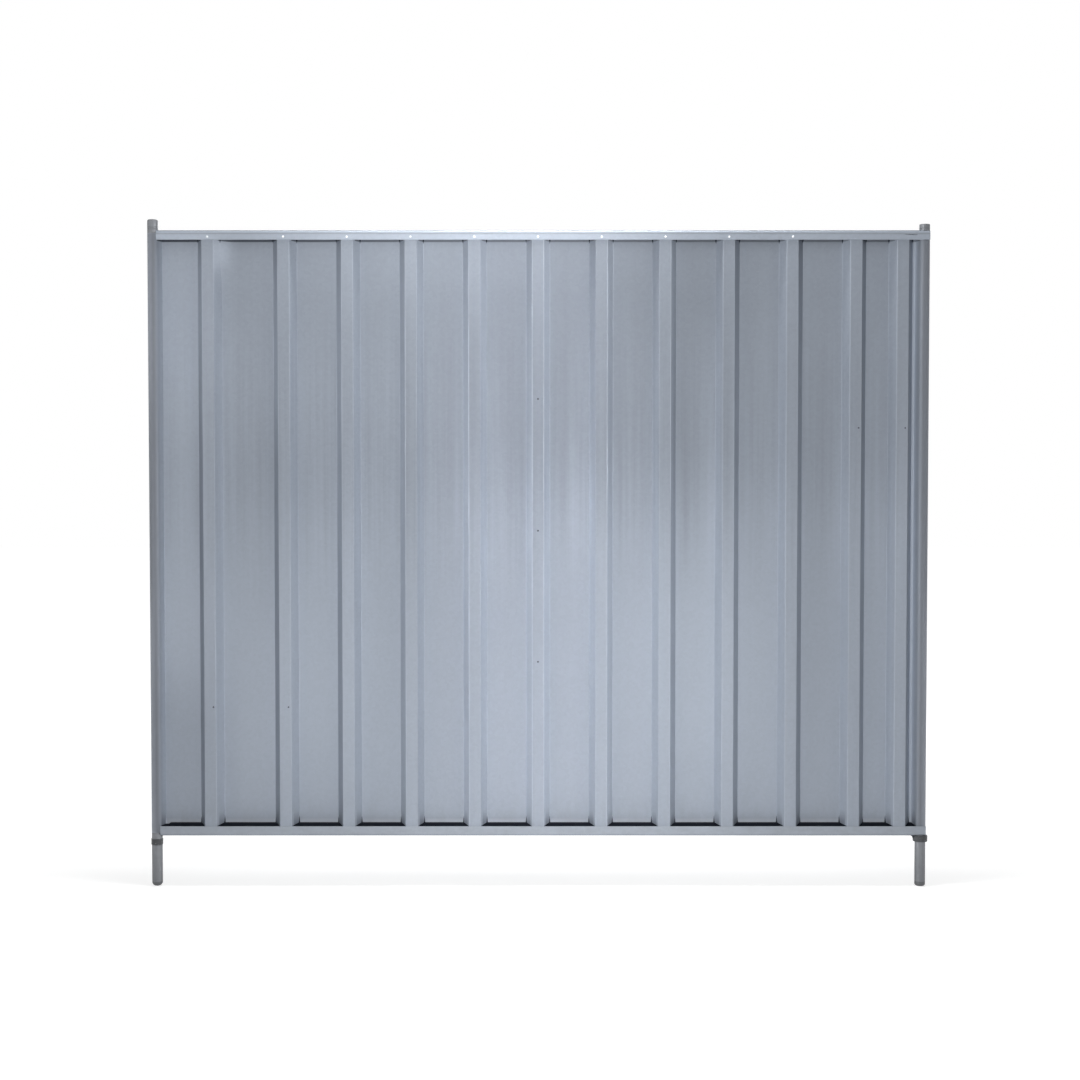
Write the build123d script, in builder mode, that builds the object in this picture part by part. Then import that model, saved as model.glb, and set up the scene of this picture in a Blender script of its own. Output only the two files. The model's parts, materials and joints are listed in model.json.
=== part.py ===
"""Solid steel fence panel for a building site.

Four ribbed sheets stand in a frame of two round posts and two folded rails. A leg is pushed
into the foot of each post and a stub into its head, both flush with the post outside.

X runs across the panel, the ribbed front faces -Y and Z is up. The origin is at the middle of
the overall width, level with the leg ends. Sizes are in millimetres.
"""

import os
from math import acos, atan2, cos, hypot, radians, sin

from build123d import *

# Posts
post_diameter = 33.7
post_wall = 2.0
leg_length = 163.0
left_stub_height = 35.0
right_stub_height = 20.0
post_proud = 6.0

# Legs and stubs, and the plugs in the leg ends
socket_clearance = 0.05
leg_neck_length = 60.0
leg_neck_taper = 6.0
stub_neck_length = 40.0
joint_chamfer = 1.0
left_stub_round = 5.0
right_stub_round = 1.0
leg_tip_depth = 20.0
leg_tip_head = 15.0
left_tip_round = 13.0
right_tip_round = 7.0

# Stop rings on the legs
ring_clearance = 0.05
ring_height = 19.0
ring_edge = 0.6
left_ring_wall = 1.6
left_ring_drop = 11.5
right_ring_wall = 6.0
right_ring_drop = 1.0

# Rails
frame_height = 1913.0
rail_wall = 2.5
rail_bend = 5.5
front_lip = 30.5
rear_lip = 60.0
rail_play = 0.3
cope_clearance = 0.2
left_rail_setback = 15.0
right_rail_reach = 13.5
drain_hole_diameter = 8.0
lip_slit_length = 38.0
lip_slit_height = 1.8
lip_slit_drop = 15.0
lip_slit_from_post = 46.0

# Weld beads between rails and posts, with a larger one beside the right ring
bead_leg = 4.5
bead_hollow = 0.5
bead_arc = 56.0
ring_bead_leg = 14.0
ring_bead_hollow = 3.5
ring_bead_arc = 36.0

# Sheet profile
sheet_thickness = 0.7
rib_pitch = 200.0
crest_width = 37.0
slope_run = 19.0
fold_radius = 2.5
lap_reach = 15.0
end_play = 0.5

# Sheet layout across the panel
left_sheet_ribs = 4
right_sheet_ribs = 4
left_end_pitch = 238.0
right_end_pitch = 147.0
left_pan = 113.0
right_pan = 8.0
left_wrap_reach = 25.0
right_wrap_reach = 25.0
wrap_clearance = 0.15
wrap_stop_angle = 40.0
wrap_hem = 1.5

# Cuts in the sheet ends
foot_gap = 5.5
foot_slit_height = 24.0
foot_slit_width = 4.0
head_slit_height = 8.0
head_slit_width = 10.0
left_notch_reach = 40.0
right_notch_reach = 25.0
post_notch_run = 8.0

# Rivets
rivet_hole_clearance = 0.1
rail_rivet_diameter = 4.0
rail_rivet_drop = 21.0
lap_rivet_diameter = 3.2
lap_rivet_first_z = 717.0
lap_rivet_spacing = 415.0
lap_rivet_count = 3
crest_rivet_offset = 10.0
left_crest_rivet_z = 573.0
right_crest_rivet_z = 1456.0

# Proportions of a blind rivet, as shares of its shank's diameter
rivet_head_width = 2.0
rivet_head_rise = 0.4
rivet_head_crown = 0.12
rivet_mandrel_width = 0.5
rivet_mandrel_pit = 0.2
rivet_tail_width = 1.44
rivet_tail_barrel = 0.55
rivet_tail_length = 0.9
rivet_tail_end_width = 0.8

# Planes in depth
post_radius = post_diameter / 2
post_bore_radius = post_radius - post_wall
wrap_radius = post_radius + wrap_clearance + sheet_thickness
rail_inside_y = wrap_radius + rail_play
rail_outside_y = rail_inside_y + rail_wall
crest_front_y = -rail_inside_y
under_crest_front_y = crest_front_y + sheet_thickness
pan_front_y = rail_inside_y - sheet_thickness

# Heights
frame_foot_z = leg_length
frame_head_z = frame_foot_z + frame_height
post_head_z = frame_head_z + post_proud
left_joint_z = frame_foot_z - left_ring_drop - ring_height
right_joint_z = frame_foot_z - right_ring_drop - ring_height
sheet_foot_z = frame_foot_z + rail_wall + rail_bend + end_play
sheet_head_z = frame_head_z - rail_wall - rail_bend - end_play
foot_lip_edge_z = frame_foot_z + front_lip
head_lip_edge_z = frame_head_z - front_lip
pan_foot_z = foot_lip_edge_z + foot_gap
rail_rivet_z = frame_head_z - rail_rivet_drop

# Places across the panel, first from the left post's axis and then from the panel's middle
rib_half_width = crest_width / 2 + slope_run
left_lap_offset = left_wrap_reach + left_pan + rib_half_width
left_rib_offsets = [left_lap_offset + left_end_pitch + i * rib_pitch for i in range(left_sheet_ribs)]
centre_lap_offset = left_rib_offsets[-1] + rib_pitch
right_rib_offsets = [centre_lap_offset + (i + 1) * rib_pitch for i in range(right_sheet_ribs)]
right_lap_offset = right_rib_offsets[-1] + rib_pitch
last_rib_offset = right_lap_offset + right_end_pitch
post_spacing = last_rib_offset + rib_half_width + right_pan + right_wrap_reach

ring_bore_radius = post_radius + ring_clearance
left_reach = ring_bore_radius + left_ring_wall
right_reach = ring_bore_radius + right_ring_wall
overall_width = left_reach + post_spacing + right_reach
left_post_x = left_reach - overall_width / 2
right_post_x = left_post_x + post_spacing
left_lap_x = left_post_x + left_lap_offset
left_rib_xs = [left_post_x + offset_x for offset_x in left_rib_offsets]
centre_lap_x = left_post_x + centre_lap_offset
right_rib_xs = [left_post_x + offset_x for offset_x in right_rib_offsets]
right_lap_x = left_post_x + right_lap_offset
last_rib_x = left_post_x + last_rib_offset

riveted_rib_xs = [left_lap_x, *left_rib_xs, centre_lap_x, *right_rib_xs]
all_rib_xs = [*riveted_rib_xs, right_lap_x, last_rib_x]
rail_left_x = left_post_x + left_rail_setback
rail_right_x = right_post_x + right_rail_reach


# Posts, legs and stubs

def post_tube(post_x, foot_z):
    """A round tube from its joint with the leg up to a little above the top rail."""
    with BuildPart() as tube:
        with BuildSketch(Plane.XY.offset(foot_z)):
            with Locations((post_x, 0)):
                Circle(post_radius)
                Circle(post_bore_radius, mode=Mode.SUBTRACT)
        extrude(amount=post_head_z - foot_z)
    return tube.part


def leg_tube(post_x, joint_z):
    """A tube as wide as the post, its upper end narrowed to a neck that sits in the post's bore."""
    neck_radius = post_bore_radius - socket_clearance
    with BuildPart() as leg:
        with BuildSketch(Plane((post_x, 0, 0), x_dir=(1, 0, 0), z_dir=(0, -1, 0))):
            with BuildLine():
                Polyline(
                    (post_bore_radius, leg_tip_head),
                    (post_radius, leg_tip_head),
                    (post_radius, joint_z - joint_chamfer),
                    (post_radius - joint_chamfer, joint_z),
                    (neck_radius, joint_z),
                    (neck_radius, joint_z + leg_neck_length),
                    (neck_radius - post_wall, joint_z + leg_neck_length),
                    (neck_radius - post_wall, joint_z),
                    (post_bore_radius, joint_z - leg_neck_taper),
                    close=True,
                )
            make_face()
        revolve(axis=Axis((post_x, 0, 0), (0, 0, 1)))
    return leg.part


def shanked_plug(plane, head, shank, foot_chamfer, top_round):
    """A head as wide as the post on the plane's upper side, with a shank in the bore below it."""
    with BuildPart(plane) as plug:
        Cylinder(post_radius, head, align=(Align.CENTER, Align.CENTER, Align.MIN))
        rims = plug.edges().filter_by(GeomType.CIRCLE).sort_by(Axis(plane.origin, plane.z_dir))
        fillet(rims[-1], radius=top_round)
        if foot_chamfer:
            chamfer(rims[0], length=foot_chamfer)
        Cylinder(
            post_bore_radius - socket_clearance,
            shank,
            align=(Align.CENTER, Align.CENTER, Align.MAX),
        )
    return plug.part


def stub(post_x, height, top_round):
    """A peg that stands on the post's head, its neck in the post's bore."""
    seat = Plane((post_x, 0, post_head_z))
    return shanked_plug(seat, height - post_proud, stub_neck_length, joint_chamfer, top_round)


def leg_tip(post_x, tip_round):
    """A rounded plug that closes the leg's lower end."""
    seat = Plane((post_x, 0, leg_tip_head), z_dir=(0, 0, -1))
    return shanked_plug(seat, leg_tip_head, leg_tip_depth, 0, tip_round)


def stop_ring(post_x, joint_z, wall):
    """A ring on the lowest stretch of the post, over the leg's neck."""
    with BuildPart() as ring:
        with BuildSketch(Plane.XY.offset(joint_z)):
            with Locations((post_x, 0)):
                Circle(ring_bore_radius + wall)
                Circle(ring_bore_radius, mode=Mode.SUBTRACT)
        extrude(amount=ring_height)
        outer_edges = ring.edges().filter_by(GeomType.CIRCLE).sort_by(SortBy.RADIUS)[-2:]
        chamfer(outer_edges, length=ring_edge)
    return ring.part


left_post = post_tube(left_post_x, left_joint_z)
right_post = post_tube(right_post_x, right_joint_z)
left_stub = stub(left_post_x, left_stub_height, left_stub_round)
right_stub = stub(right_post_x, right_stub_height, right_stub_round)
left_leg = leg_tube(left_post_x, left_joint_z)
right_leg = leg_tube(right_post_x, right_joint_z)
left_leg_tip = leg_tip(left_post_x, left_tip_round)
right_leg_tip = leg_tip(right_post_x, right_tip_round)
left_stop_ring = stop_ring(left_post_x, left_joint_z, left_ring_wall)
right_stop_ring = stop_ring(right_post_x, right_joint_z, right_ring_wall)


# Rails

def rail_channel(web_z, lip_side):
    """A folded channel coped round both posts, with its lips above (1) or below (-1) its web."""
    with BuildPart() as channel:
        with BuildSketch(Plane.YZ.offset(rail_left_x)):
            with BuildLine():
                outside = FilletPolyline(
                    (-rail_outside_y, web_z + lip_side * front_lip),
                    (-rail_outside_y, web_z),
                    (rail_outside_y, web_z),
                    (rail_outside_y, web_z + lip_side * rear_lip),
                    radius=rail_bend + rail_wall,
                )
                offset(outside, amount=rail_wall, side=Side.LEFT if lip_side > 0 else Side.RIGHT)
            make_face()
        extrude(amount=rail_right_x - rail_left_x)
        with BuildSketch(Plane.XY.offset(web_z)):
            cope_radius = post_radius + cope_clearance
            with Locations((left_post_x, 0), (right_post_x, 0)):
                Circle(cope_radius)
            with Locations((right_post_x, 0)):
                Rectangle(2 * post_radius, 2 * cope_radius, align=(Align.MIN, Align.CENTER))
        extrude(amount=rail_wall + rail_bend, both=True, mode=Mode.SUBTRACT)
    return channel.part


def drill_rods(places, diameter):
    """Rods along Y that cut rivet holes through the front of a piece, at (x, z) places."""
    with BuildPart() as rods:
        with BuildSketch(Plane.XZ):
            with Locations(*places):
                Circle(diameter / 2 + rivet_hole_clearance)
        extrude(amount=rail_outside_y)
    return rods.part


def rail_rivet_holes(rib_xs):
    """Cutters for the rivets between the top rail and the crests."""
    return drill_rods([(x, rail_rivet_z) for x in rib_xs], rail_rivet_diameter)


def lap_rivet_holes(places):
    """Cutters for the rivets in the crests."""
    return drill_rods(places, lap_rivet_diameter)


pan_middles = [(a + b) / 2 for a, b in zip(all_rib_xs, all_rib_xs[1:])]

with BuildPart() as top_rail:
    add(rail_channel(frame_head_z, -1))
    add(rail_rivet_holes(riveted_rib_xs), mode=Mode.SUBTRACT)
    with BuildSketch(Plane.XZ.offset(rail_outside_y)):
        with Locations((right_post_x - lip_slit_from_post, frame_head_z - lip_slit_drop)):
            SlotOverall(lip_slit_length, lip_slit_height)
    extrude(amount=-rail_wall, mode=Mode.SUBTRACT)

with BuildPart() as bottom_rail:
    add(rail_channel(frame_foot_z, 1))
    with BuildSketch(Plane.XY.offset(frame_foot_z)):
        with Locations(*[(x, 0) for x in pan_middles]):
            Circle(drain_hole_diameter / 2)
    extrude(amount=rail_wall, mode=Mode.SUBTRACT)


# Welds

def weld_bead(post_x, facing, web_z, side, tube_radius, leg, hollow, arc):
    """A hollow-faced bead in the corner of an upright tube and a rail's web, on the tube's inner side.

    facing is 1 where the rail lies on the tube's +X side. side is 1 where the bead stands on top of
    the web and -1 where it hangs under it.
    """
    first_angle = radians((0 if facing > 0 else 180) - arc / 2)
    first_direction = Vector(cos(first_angle), sin(first_angle), 0)
    section = Plane(
        (post_x, 0, web_z), x_dir=first_direction, z_dir=first_direction.cross(Vector(0, 0, 1))
    )
    face_middle = leg / 2 - hollow * cos(radians(45))
    with BuildPart() as bead:
        with BuildSketch(section):
            with BuildLine():
                Polyline(
                    (tube_radius, side * leg),
                    (tube_radius, 0),
                    (tube_radius + leg, 0),
                )
                ThreePointArc(
                    (tube_radius + leg, 0),
                    (tube_radius + face_middle, side * face_middle),
                    (tube_radius, side * leg),
                )
            make_face()
        revolve(axis=Axis((post_x, 0, web_z), (0, 0, 1)), revolution_arc=arc)
    return bead.part


small_bead = (bead_leg, bead_hollow, bead_arc)
ring_bead = (ring_bead_leg, ring_bead_hollow, ring_bead_arc)
top_left_weld = weld_bead(left_post_x, 1, frame_head_z, 1, post_radius, *small_bead)
top_right_weld = weld_bead(right_post_x, -1, frame_head_z, 1, post_radius, *small_bead)
bottom_left_weld = weld_bead(left_post_x, 1, frame_foot_z, -1, post_radius, *small_bead)
bottom_right_weld = weld_bead(right_post_x, -1, frame_foot_z, -1, right_reach, *ring_bead)


# Sheets, each drawn as the line of its front face in plan

outer_fold = fold_radius + sheet_thickness


def rib_corners(x):
    """Corners and fold radii of one whole rib, from left to right."""
    return [
        ((x - rib_half_width, pan_front_y), fold_radius),
        ((x - crest_width / 2, crest_front_y), outer_fold),
        ((x + crest_width / 2, crest_front_y), outer_fold),
        ((x + rib_half_width, pan_front_y), fold_radius),
    ]


def over_lap(x):
    """The edge of a sheet that starts on top of a rib's crest."""
    return [
        ((x - lap_reach, crest_front_y), None),
        ((x + crest_width / 2, crest_front_y), outer_fold),
        ((x + rib_half_width, pan_front_y), fold_radius),
    ]


def under_lap(x):
    """The edge of a sheet that ends under a rib's crest."""
    return [
        ((x - rib_half_width, pan_front_y), fold_radius),
        ((x - crest_width / 2, under_crest_front_y), outer_fold),
        ((x + lap_reach, under_crest_front_y), None),
    ]


def post_wrap(post_x, reach, facing):
    """The edge of a sheet that leaves its pan and folds round the front of a post.

    facing is 1 where the pan lies on the post's +X side. Angles are about the post's axis.
    """
    touch = atan2(pan_front_y, reach) - acos(wrap_radius / hypot(reach, pan_front_y))
    stop = radians(wrap_stop_angle - 180)
    middle = (touch + stop) / 2
    corner_reach = wrap_radius / cos((touch - stop) / 2)
    corner = (post_x + facing * corner_reach * cos(middle), corner_reach * sin(middle))
    hem = (
        post_x + facing * (wrap_radius * cos(stop) + wrap_hem * sin(stop)),
        wrap_radius * sin(stop) - wrap_hem * cos(stop),
    )
    fold = (post_x + facing * reach, pan_front_y)
    return [(fold, fold_radius), (corner, wrap_radius), (hem, None)]


def notch_side(front_x, fold_x, slit):
    """One side of a foot notch, from the sheet's foot up to the cut edge of the pan."""
    rise = [(front_x, sheet_foot_z - end_play), (front_x, foot_lip_edge_z)]
    if not slit:
        return rise + [(fold_x, pan_foot_z)]
    half_slit = foot_slit_width / 2 if fold_x > front_x else -foot_slit_width / 2
    return rise + [
        (fold_x - half_slit, pan_foot_z),
        (fold_x, pan_foot_z + foot_slit_height),
        (fold_x + half_slit, pan_foot_z),
    ]


def right_of_rib(x):
    """The left side of the notch that starts at a rib's right slope."""
    return notch_side(x + crest_width / 2, x + rib_half_width, slit=True)


def left_of_rib(x):
    """The right side of the notch that ends at a rib's left slope."""
    return notch_side(x - crest_width / 2, x - rib_half_width, slit=True)


def sheet(corners, notches, slit_xs):
    """A folded sheet, notched at its foot in every pan and slit at its head along the pan folds."""
    points = [point for point, _ in corners]
    radii = [radius for _, radius in corners[1:-1]]
    with BuildPart() as blank:
        with BuildSketch(Plane.XY.offset(sheet_foot_z)):
            with BuildLine():
                front = FilletPolyline(*points, radius=radii)
                offset(front, amount=sheet_thickness, side=Side.LEFT)
            make_face()
        extrude(amount=sheet_head_z - sheet_foot_z)
        with BuildSketch(Plane.XZ):
            for left_side, right_side in notches:
                with BuildLine():
                    Polyline(*left_side, *reversed(right_side), close=True)
                make_face()
            for x in slit_xs:
                with BuildLine():
                    Polyline(
                        (x - head_slit_width / 2, sheet_head_z),
                        (x, head_lip_edge_z - head_slit_height),
                        (x + head_slit_width / 2, sheet_head_z),
                        close=True,
                    )
                make_face()
        extrude(amount=rail_inside_y, both=True, mode=Mode.SUBTRACT)
    return blank.part


def pan_folds(rib_xs):
    """Where the pans fold up into whole ribs."""
    return [x + side * rib_half_width for x in rib_xs for side in (-1, 1)]


def regular_sheet(first_lap_x, rib_xs, last_lap_x):
    """A full sheet that laps over the rib at its left and under the rib at its right."""
    corners = over_lap(first_lap_x)
    for x in rib_xs:
        corners = corners + rib_corners(x)
    corners = corners + under_lap(last_lap_x)
    edges_of_pans = [first_lap_x, *rib_xs, last_lap_x]
    notches = [(right_of_rib(a), left_of_rib(b)) for a, b in zip(edges_of_pans, edges_of_pans[1:])]
    slit_xs = [first_lap_x + rib_half_width, *pan_folds(rib_xs), last_lap_x - rib_half_width]
    return sheet(corners, notches, slit_xs)


left_notch_x = left_post_x + left_notch_reach
right_notch_x = right_post_x - right_notch_reach
centre_lap_places = [
    (centre_lap_x, lap_rivet_first_z + i * lap_rivet_spacing) for i in range(lap_rivet_count)
]
left_lap_place = (left_lap_x + crest_rivet_offset, left_crest_rivet_z)
left_rib_place = (left_rib_xs[0] + crest_rivet_offset, left_crest_rivet_z)
right_lap_place = (right_lap_x + crest_rivet_offset, right_crest_rivet_z)
last_rib_place = (last_rib_x + crest_rivet_offset, right_crest_rivet_z)

with BuildPart() as left_strip:
    first_pan_notch = (
        notch_side(left_notch_x - post_notch_run, left_notch_x, slit=False),
        left_of_rib(left_lap_x),
    )
    left_edge = list(reversed(post_wrap(left_post_x, left_wrap_reach, 1)))
    add(sheet(left_edge + under_lap(left_lap_x), [first_pan_notch], [left_lap_x - rib_half_width]))
    add(rail_rivet_holes([left_lap_x]), mode=Mode.SUBTRACT)
    add(lap_rivet_holes([left_lap_place]), mode=Mode.SUBTRACT)

with BuildPart() as left_sheet:
    add(regular_sheet(left_lap_x, left_rib_xs, centre_lap_x))
    add(rail_rivet_holes([left_lap_x, *left_rib_xs, centre_lap_x]), mode=Mode.SUBTRACT)
    add(lap_rivet_holes([left_lap_place, left_rib_place, *centre_lap_places]), mode=Mode.SUBTRACT)

with BuildPart() as right_sheet:
    add(regular_sheet(centre_lap_x, right_rib_xs, right_lap_x))
    add(rail_rivet_holes([centre_lap_x, *right_rib_xs]), mode=Mode.SUBTRACT)
    add(lap_rivet_holes([right_lap_place, *centre_lap_places]), mode=Mode.SUBTRACT)

with BuildPart() as right_strip:
    last_pan_notch = (
        right_of_rib(last_rib_x),
        notch_side(right_notch_x + post_notch_run, right_notch_x, slit=False),
    )
    right_edge = post_wrap(right_post_x, right_wrap_reach, -1)
    add(
        sheet(
            over_lap(right_lap_x) + rib_corners(last_rib_x) + right_edge,
            [(right_of_rib(right_lap_x), left_of_rib(last_rib_x)), last_pan_notch],
            [right_lap_x + rib_half_width, *pan_folds([last_rib_x])],
        )
    )
    add(lap_rivet_holes([right_lap_place, last_rib_place]), mode=Mode.SUBTRACT)


# Rivets

def blind_rivet(diameter, grip):
    """A blind rivet along Y: domed head in front of y = 0, swollen tail behind y = grip."""
    shank = diameter / 2
    head = diameter * rivet_head_width / 2
    rise = diameter * rivet_head_rise
    mandrel = diameter * rivet_mandrel_width / 2
    pit = rise - diameter * rivet_mandrel_pit
    tail = diameter * rivet_tail_width / 2
    with BuildPart() as rivet:
        with BuildSketch(Plane.XY):
            with BuildLine():
                Polyline(
                    (head, 0),
                    (shank, 0),
                    (shank, grip),
                    (tail, grip),
                    (tail, grip + diameter * rivet_tail_barrel),
                    (diameter * rivet_tail_end_width / 2, grip + diameter * rivet_tail_length),
                    (0, grip + diameter * rivet_tail_length),
                    (0, -pit),
                    (mandrel, -pit),
                    (mandrel, -rise),
                )
                SagittaArc((mandrel, -rise), (head, 0), diameter * rivet_head_crown)
            make_face()
        revolve(axis=Axis.Y)
    return rivet.part


def rivet_row(places, front_y, diameter, grip):
    """Copies of one rivet at (x, z) places, their heads on a front face, as separate solids."""
    rivet = blind_rivet(diameter, grip)
    with BuildPart() as row:
        with Locations(*[(x, front_y, z) for x, z in places]):
            add(rivet)
    return row.part


lap_grip = 2 * sheet_thickness
rail_front_y = -rail_outside_y

with BuildPart() as top_rail_rivets:
    single_places = [(x, rail_rivet_z) for x in left_rib_xs + right_rib_xs]
    lap_places = [(x, rail_rivet_z) for x in (left_lap_x, centre_lap_x)]
    add(rivet_row(single_places, rail_front_y, rail_rivet_diameter, rail_wall + sheet_thickness))
    add(rivet_row(lap_places, rail_front_y, rail_rivet_diameter, rail_wall + lap_grip))

with BuildPart() as centre_lap_rivets:
    add(rivet_row(centre_lap_places, crest_front_y, lap_rivet_diameter, lap_grip))

with BuildPart() as crest_rivets:
    add(rivet_row([left_lap_place, right_lap_place], crest_front_y, lap_rivet_diameter, lap_grip))
    add(rivet_row([left_rib_place, last_rib_place], crest_front_y, lap_rivet_diameter, sheet_thickness))


# Write each piece to its own file

pieces = {
    "left_post": left_post,
    "right_post": right_post,
    "left_stub": left_stub,
    "right_stub": right_stub,
    "left_leg": left_leg,
    "right_leg": right_leg,
    "left_leg_tip": left_leg_tip,
    "right_leg_tip": right_leg_tip,
    "left_stop_ring": left_stop_ring,
    "right_stop_ring": right_stop_ring,
    "top_rail": top_rail.part,
    "bottom_rail": bottom_rail.part,
    "top_left_weld": top_left_weld,
    "top_right_weld": top_right_weld,
    "bottom_left_weld": bottom_left_weld,
    "bottom_right_weld": bottom_right_weld,
    "left_strip": left_strip.part,
    "left_sheet": left_sheet.part,
    "right_sheet": right_sheet.part,
    "right_strip": right_strip.part,
    "top_rail_rivets": top_rail_rivets.part,
    "centre_lap_rivets": centre_lap_rivets.part,
    "crest_rivets": crest_rivets.part,
}

os.makedirs("parts", exist_ok=True)
for name, piece in pieces.items():
    piece.label = name
    export_step(piece, f"parts/{name}.step")
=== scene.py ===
"""Looks of the solid fence panel: finishes, folded sheets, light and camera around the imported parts.

Everything is in metres, in the parts' own frame: X across the panel, the ribbed front towards -Y,
Z up from the leg ends.
"""

import json
from math import acos, atan2, ceil, cos, hypot, pi, radians, sin, tan

import bpy
import numpy as np
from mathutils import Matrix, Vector, noise as smooth_noise


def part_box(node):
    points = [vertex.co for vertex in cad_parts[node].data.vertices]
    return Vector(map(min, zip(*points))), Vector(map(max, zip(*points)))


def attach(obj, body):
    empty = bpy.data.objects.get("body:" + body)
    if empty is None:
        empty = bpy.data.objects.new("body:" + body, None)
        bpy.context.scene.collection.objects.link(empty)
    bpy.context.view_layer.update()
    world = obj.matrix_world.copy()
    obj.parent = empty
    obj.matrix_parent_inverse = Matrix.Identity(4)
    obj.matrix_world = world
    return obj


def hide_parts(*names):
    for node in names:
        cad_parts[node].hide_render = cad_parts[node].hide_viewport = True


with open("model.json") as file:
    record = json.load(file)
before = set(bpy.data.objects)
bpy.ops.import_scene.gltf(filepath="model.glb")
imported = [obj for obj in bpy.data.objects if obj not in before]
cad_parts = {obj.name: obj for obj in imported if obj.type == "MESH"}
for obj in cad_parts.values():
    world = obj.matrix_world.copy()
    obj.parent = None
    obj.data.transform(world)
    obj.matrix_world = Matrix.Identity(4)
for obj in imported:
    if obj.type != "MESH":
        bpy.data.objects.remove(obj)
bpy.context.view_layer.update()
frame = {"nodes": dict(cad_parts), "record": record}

# Camera, as the photograph was taken
camera_place = (0.0022, -4.85, 1.2493)
camera_tilt_down = radians(1.737)
camera_lens_mm = 51.04
camera_sensor_mm = 36.0

# Light levels of the surroundings and the floor, where 1 is white
white = (1.0, 1.0, 1.0, 1.0)
background_level = 1.0
ambient_level = 0.22
floor_colour = (0.5, 0.5, 0.5, 1.0)
floor_rough = 0.9
floor_glow = 0.94
floor_near_glow = 0.68
floor_near_reach = (1.2, 3.2)
floor_half_width = 30.0

# Lamps beside the panel: places given for the right side, angles in degrees
side_place = (3.5, -2.6, 1.3)
spot_cone = 80.0
spot_blend = 0.12
spot_radius = 0.2
near_edge_x = 0.24
far_edge_x = 0.9
strip_lamp_target_z = 1.1
strip_lamp_size = (0.1, 2.2)
strip_lamp_spread = 9.0
graze_place = (4.5, -1.5, 1.3)
graze_size = (0.05, 2.4)
graze_spread = 4.0

# Where most of a noise's values lie
noise_span = (0.3, 0.7)
broad_span = (0.25, 0.75)

# Zinc on the sheets and rails
sheet_colour = (0.365, 0.405, 0.47, 1.0)
# Painted light: the top rail's zinc is set lighter than the bottom rail's, a lit and a shaded copy of one
# finish
top_rail_colour = (0.4, 0.445, 0.515, 1.0)
bottom_rail_colour = (0.365, 0.4, 0.455, 1.0)
zinc_metallic = 0.3
zinc_specular = 0.25
sheet_rough = (0.5, 0.62)
rail_rough = (0.4, 0.5)
sheet_streaks = 0.29
rail_streaks = 0.03
thin_streak_scale = (70.0, 70.0, 1.1)
wide_streak_scale = (16.0, 16.0, 0.5)
streak_rise = (0.85, 1.2)
streak_fall = (1.55, 1.85)
foot_streaks = 0.25
head_streaks = 0.35
streak_relief = 0.0001
spangle_scale = 110.0
spangle_rough = (-0.03, 0.03)
cloud_scale = (3.0, 3.0, 1.6)
faint_tone = (0.97, 1.03)
grain_scale = 420.0
grain_relief = 0.00004

# The sheets' upper half, darkened with painted shade
painted_upper_shade = 0.09
painted_middle_shade = 0.2
middle_x = 0.08
middle_reach = (0.12, 0.55)
upper_shade_heights = (1.04, 1.46)
shade_edge_scale = (45.0, 45.0, 0.4)
shade_edge_drift = 0.24

# The sheets' coat round the posts, with its edges measured outwards from a post's middle
post_coat_colour = (0.185, 0.199, 0.227, 1.0)
post_coat_share = 0.9
post_coat_edge = (-0.024, -0.006)
# Painted light: the coat's outer sides made paler, most of all low down
post_lit_colour = (0.46, 0.49, 0.555, 1.0)
post_lit_edge = (-0.003, 0.012)
post_lit_heights = (0.75, 1.0)
upper_post_lit = 0.55

# Painted light on the sheets: highlights along the folds, a lighter narrow pan beside the right post, and a
# lighter foot with the cut edge brightest, its heights measured up from the pans' foot
painted_highlight_colour = (0.52, 0.57, 0.65, 1.0)
fold_highlight = 0.6
pan_fold_highlight = 0.5
inner_fold_highlight = 0.12
highlight_patch_scale = (30.0, 30.0, 6.0)
least_highlight = 0.3
# Painted light on the narrow pan beside the right post, lifting the shade in its groove
narrow_pan_light = 0.5
narrow_pan_edge = 0.001
narrow_pan_fade = 0.005
# Painted light: the pans' lowest stretch made lighter, brightest at the cut edge, lifting the shade above
# the foot lip
foot_light_colour = (0.5, 0.54, 0.6, 1.0)
foot_light_heights = (0.004, 0.014)

# Dirt and painted shade: depths from the crest or the pan, heights from the pans' foot or a rail's edge
dirt_and_shade_colour = (0.17, 0.17, 0.16, 1.0)
# Black of the painted shade
painted_shade_colour = (0.012, 0.016, 0.026, 1.0)
behind_crest = (0.008, 0.012)
before_pan = (-0.004, -0.002)
# Painted shade on the slopes just above the pans' foot
slope_shade = 0.45
slope_shade_heights = (-0.01, 0.05)
splash_height = 0.14
splash_scale = (40.0, 40.0, 14.0)
splash_span = (0.45, 0.75)
splash_strength = 0.12
# Painted shade: black on the pans just behind the top lip, stronger at the left, and below the foot lip's
# edge
left_lip_shade = 0.85
right_lip_shade = 0.45
lip_shade_height = 0.003
foot_shade_height = 0.002
dust_scale = (25.0, 25.0, 60.0)
dust_span = (0.4, 0.75)
dust_strength = 0.15
rail_dust_margin = 0.2
# Painted shade: a dark line along the top rail's face where its top bend ends
crease_drop = 0.0115
crease_half = (0.0012, 0.003)
crease_shade = 0.3
# Painted shade inside the channels: the skins where the black starts
lip_skin = (0.0004, 0.0008)
web_skin = (0.001, 0.002)

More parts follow.
